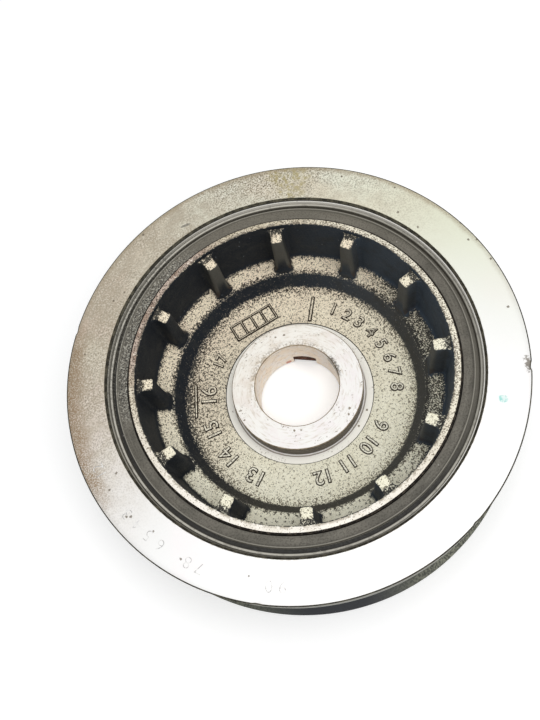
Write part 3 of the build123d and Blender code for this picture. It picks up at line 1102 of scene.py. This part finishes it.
def ring_face():
    """Turned face of the ring: stained and grainy on one side, unstained on the other and painted
    white there as a reflection of the lamps.
    """
    s = Shade("ring_face", 0.42, metallic=0.25)
    grain = s.noise(2300, 3, 0.62)
    cloud = s.noise(42, 3, 0.55)
    small = s.noise(170, 3, 0.6)
    lines = s.noise(1.0, 2, 0.5, place=s.around(2600, 4.0))
    # Painted reflection: toward the near right the face is unstained and painted white, as it
    # mirrors the lamps.
    clean_and_lit = s.toward(0.39, -0.92, -58, 20)
    old = s.mix(s.step(cloud, 0.38, 0.62), (0.76, 0.68, 0.53), (0.83, 0.815, 0.67))
    browned = s.mix(s.step(cloud, 0.4, 0.6), (0.66, 0.54, 0.43), (0.74, 0.67, 0.53))
    old = s.mix(s.toward(-1, 0.1, 20, 70), old, browned)
    white = s.mix(s.step(cloud, 0.42, 0.66, 0, 0.8), (0.92, 0.915, 0.90), (0.93, 0.895, 0.89))
    # Painted reflection: the white turns greenish grey toward the far side.
    white = s.mix(s.toward(0.5, 0.86, 5, 68), white, (0.80, 0.82, 0.64))
    base = s.mix(clean_and_lit, old, white)
    # The rest of the face: stained and grainy, and darker as painted shade.
    dirt_and_shade = s.math("SUBTRACT", 1.0, clean_and_lit)
    patchy = s.grain(60, 3, 0.6, 0.36, 0.62, 0.45, 1.0)
    mottle = s.times(s.grain(420, 3, 0.6, 0.42, 0.60, 0, 0.45), dirt_and_shade)
    base = s.mix(mottle, base, (0.52, 0.46, 0.35))
    rough = s.most(s.toward(0.30, 0.95, 56, 70, 0.62, 1), s.toward(-0.9, -0.3, 40, 66, 0.62, 0.9))
    specks = s.times(s.grain(1700, 3, 0.7, 0.42, 0.50, 1, 0), s.math("POWER", dirt_and_shade, 1.1), patchy)
    base = s.mix(s.times(specks, rough, 0.95), base, (0.12, 0.095, 0.06))
    # Darker, browner patches toward the upper left.
    upper_left = s.toward(-0.75, 0.66, 20, 66)
    upper_left_darkened = s.times(upper_left, dirt_and_shade, s.step(small, 0.4, 0.6, 0.3, 0.75))
    base = s.mix(upper_left_darkened, base, (0.46, 0.39, 0.29))
    glints = s.times(s.grain(1700, 2, 0.65, 0.53, 0.63), dirt_and_shade, patchy)
    base = s.mix(s.times(glints, rough, 0.55), base, (0.97, 0.95, 0.86))
    base = s.mix(s.times(s.step(lines, 0.5, 0.75, 0, 0.3), dirt_and_shade), base, (0.40, 0.38, 0.30))
    outer = s.span(s.plus(s.radius(), s.times(small, 6 * MM)), 70.5, 76.5)
    rust_area = s.near(-70, 10, 31, 0.3, stretch=(1.6, 0.8), grain=120)
    rust = s.times(rust_area, outer, s.step(grain, 0.40, 0.58, 0.15, 0.95))
    rusted = s.mix(rust, base, (0.30, 0.20, 0.115))
    stain_a = s.near(26, 68.5, 10, 0.5, stretch=(1.1, 0.8), grain=240)
    stain_b = s.near(22, 60, 6, 0.5, stretch=(1.9, 0.8), grain=300)
    stain = s.times(s.most(stain_a, stain_b), s.grain(650, 3, 0.65, 0.44, 0.60, 0.08, 0.75))
    stained = s.mix(stain, rusted, (0.42, 0.35, 0.15))
    border = s.span(s.plus(s.radius(), s.times(small, 2.4 * MM)), 73.9, 75.8)
    border = s.times(border, s.toward(0.3, 0.95, 0, 60), s.step(grain, 0.35, 0.6, 0.3, 0.8))
    stained = s.mix(border, stained, (0.42, 0.34, 0.22))
    pits = s.step(s.cells(190), 0.05, 0.085, 1, 0)
    pits = s.times(pits, s.grain(75, 2, 0.5, 0.52, 0.58))
    z = s.height()
    rear = s.span(z, 20, 25)
    knocks = s.dots((
        (57.3, 45.9, 0.5), (73.2, 15.4, 0.5), (73.9, 7.0, 0.5), (71.0, -10.7, 0.5),
        (70.7, 16.5, 0.5), (54.2, 36.2, 0.55), (57.8, 27.9, 0.45), (-31.2, 66.7, 0.6),
        (-64.6, -28.0, 0.55), (-63.3, -28.5, 0.5), (-52.3, -46.2, 0.45), (-57.9, -35.3, 0.45),
        (-63.9, -13.6, 0.5), (-67.5, -17.9, 0.5),
    ))
    pitted = s.mix(s.most(pits, s.times(knocks, rear, 0.85)), stained, (0.16, 0.13, 0.09))
    edge = s.span(s.radius(), 61.9, 62.6, 0.8, 0.0)
    edge = s.times(edge, s.grain(700, 3, 0.6, 0.44, 0.6))
    edged = s.mix(edge, pitted, (0.36, 0.30, 0.18))
    scratch = s.near(-15.8, 63.7, 2.2, 0.3, stretch=(0.9, 3.6), grain=900)
    edged = s.mix(s.times(scratch, rear, 0.7), edged, (0.15, 0.14, 0.12))
    chip = s.near(68.2, -31.0, 2.6, 0.9, stretch=(1.3, 0.8), grain=1100)
    edged = s.mix(s.times(chip, rear, 0.85), edged, (0.16, 0.135, 0.10))
    teal = s.near(55.7, -37.6, 1.6, 0.35, grain=1500)
    teal = s.times(teal, rear, s.grain(1000, 3, 0.6, 0.40, 0.56, 0.25, 0.85))
    colour = s.mix(teal, edged, (0.18, 0.62, 0.56))
    height = s.plus(s.times(lines, 0.5), s.times(grain, 0.6))
    normal = s.bump(s.times(height, dirt_and_shade), 0.04 * MM, 0.5)
    return s.finish(colour, roughness=s.step(grain, 0.3, 0.7, 0.55, 0.40), normal=normal)


def stamp_grey():
    """Faint grey of the stamped numbers, broken up."""
    s = Shade("stamp_grey", 0.5, metallic=0.2)
    broken = s.grain(900, 2, 0.5, 0.42, 0.55)
    return s.finish(s.mix(broken, (0.50, 0.49, 0.475), (0.82, 0.81, 0.79)))


def dark_burr():
    """Near-black grain on the broken edges of the ring."""
    s = Shade("dark_burr", 0.7, specular=0.2)
    grain = s.grain(600, 3, 0.6, 0.4, 0.68)
    return s.finish(s.mix(grain, (0.030, 0.027, 0.019), (0.10, 0.09, 0.062)))


def ring_side():
    """Outside of the ring: pale grey land, dark track and flange, darkest as painted shade across
    the middle of the near side, olive toward both ends.
    """
    s = Shade("ring_side", 0.5, metallic=0.3)
    lines = s.noise(1.0, 2, 0.5, place=s.around(3800, 3.0))
    grain = s.noise(1500, 3, 0.62)
    # Painted shade: darkest across the middle of the near side, lighter olive toward both ends.
    across = s.toward(0.94, -0.34, -34, 4)
    back = s.toward(0.94, -0.34, 18, 48)
    ends = s.most(s.math("SUBTRACT", 1.0, across), back)
    base = s.mix(ends, (0.036, 0.038, 0.044), (0.20, 0.205, 0.155))
    # Painted shade: darker deep in the belt grooves.
    grooves = s.span(s.radius(), 70.4, 73.2)
    groove_shaded = s.mix(grooves, (0.030, 0.032, 0.035), base)
    specks = s.times(s.step(grain, 0.42, 0.56, 1, 0), s.step(ends, 0, 1, 0.25, 0.85))
    colour = s.mix(specks, groove_shaded, (0.035, 0.038, 0.033))
    z = s.height()
    land = s.times(s.span(z, 29.6, 30.2), s.grain(900, 2, 0.5, 0.35, 0.55, 0.8, 0.95), grooves)
    colour = s.mix(land, colour, (0.30, 0.295, 0.25))
    height = s.plus(s.times(lines, 0.5), s.times(grain, 0.7))
    normal = s.bump(height, 0.06 * MM, 0.6)
    return s.finish(colour, roughness=s.step(grain, 0.3, 0.7, 0.6, 0.42), normal=normal)


def old_rubber():
    """Dusty grey-brown rubber: flat band, lip and bead with painted highlights, groove with painted
    shade, scuffed on one side.
    """
    s = Shade("old_rubber", 0.6, specular=0.4)
    cloud = s.noise(110, 3, 0.55)
    streaks = s.noise(1.0, 3, 0.55, place=s.around(1500, 6.0))
    grain = s.noise(1900, 3, 0.62)
    base = s.mix(s.step(cloud, 0.35, 0.65), (0.100, 0.092, 0.072), (0.145, 0.132, 0.106))
    base = s.mix(s.toward(0.2, 1, 20, 52, 0, 0.55), base, (0.19, 0.172, 0.135))
    streaked = s.mix(s.step(streaks, 0.45, 0.7, 0, 0.5), base, (0.20, 0.185, 0.15))
    streaked = s.mix(s.step(grain, 0.40, 0.50, 0.45, 0), streaked, (0.04, 0.035, 0.028))
    scuff_area = s.near(-44, 36, 44, 0.4, grain=60)
    scuffs = s.times(scuff_area, s.grain(1700, 3, 0.65, 0.50, 0.58))
    scuffed = s.mix(s.times(scuffs, 0.8), streaked, (0.50, 0.48, 0.41))
    dark = s.times(scuff_area, s.grain(1900, 3, 0.6, 0.42, 0.50, 0.85, 0))
    scuffed = s.mix(dark, scuffed, (0.015, 0.015, 0.015))
    radius = s.radius()
    right = s.toward(1, 0, 20, 55)
    # Painted highlight along the lip.
    lip = s.band(radius, 58.15, 58.3, 58.7, 58.8)
    lipped = s.mix(s.times(lip, 0.5), scuffed, (0.34, 0.32, 0.27))
    # Painted shade in the groove, less dark toward the right.
    groove = s.band(radius, 58.75, 58.9, 60.0, 60.25)
    grooved = s.mix(groove, lipped, s.mix(right, (0.028, 0.026, 0.022), (0.15, 0.138, 0.11)))
    # Painted highlight on the bead, dimmer toward the right.
    bead = s.times(s.span(radius, 60.15, 60.45), s.grain(420, 3, 0.6, 0.30, 0.5, 0.5, 1))
    beaded = s.mix(bead, grooved, s.mix(right, (0.52, 0.495, 0.43), (0.34, 0.325, 0.28)))
    # Painted shade in the crease between bead and film, fading toward the right.
    crease = s.band(radius, 60.95, 61.05, 61.12, 61.2)
    crease = s.times(crease, s.math("SUBTRACT", 0.95, s.times(right, 0.75)))
    beaded = s.mix(crease, beaded, (0.030, 0.028, 0.022))
    # Painted light on the thin film up the ring's bore: bright toward the right, dimmer on the
    # left, dark toward the near left.
    film = s.span(radius, 61.12, 61.2)
    bright = s.mix(s.toward(1, 0.1, -50, 50), (0.34, 0.32, 0.27), (0.86, 0.83, 0.76))
    bright = s.mix(s.toward(-0.45, -0.9, 30, 58), bright, (0.11, 0.10, 0.08))
    beaded = s.mix(film, beaded, bright)
    # Painted shade: near black in the narrow gap at the inner edge of the rubber.
    beaded = s.mix(s.span(radius, 55.12, 55.24, 0.95, 0), beaded, (0.012, 0.011, 0.010))
    beaded = s.mix(s.times(scuffs, bead, 0.6), beaded, (0.05, 0.05, 0.045))
    speck = s.step(s.cells(330), 0.05, 0.09, 0.7, 0.0)
    colour = s.mix(s.times(speck, s.step(cloud, 0.5, 0.6)), beaded, (0.40, 0.38, 0.34))
    normal = s.bump(s.plus(grain, s.times(streaks, 0.5)), 0.06 * MM, 0.6)
    return s.finish(colour, roughness=s.step(grain, 0.3, 0.7, 0.7, 0.48), normal=normal)


# ---- the scene


def main():
    """Dresses the part and lights it."""
    make_camera()
    make_world()
    make_table()
    for lamp in LAMPS:
        make_lamp(*lamp)
    bpy.context.scene.view_settings.view_transform = "Standard"
    make_ring([ring_face(), ring_side(), dark_burr()])
    make_rubber([old_rubber()])
    hub_finishes = (
        cast_iron, rim_iron, boss_face, bore_wall, brown_edge, dark_wall, slot_brown, black_grime,
    )
    make_hub([finish() for finish in hub_finishes])
    marks = [mark_top(), mark_side()]
    make_bars(marks)
    make_numbers(marks)
    make_stamps(stamp_grey())


main()
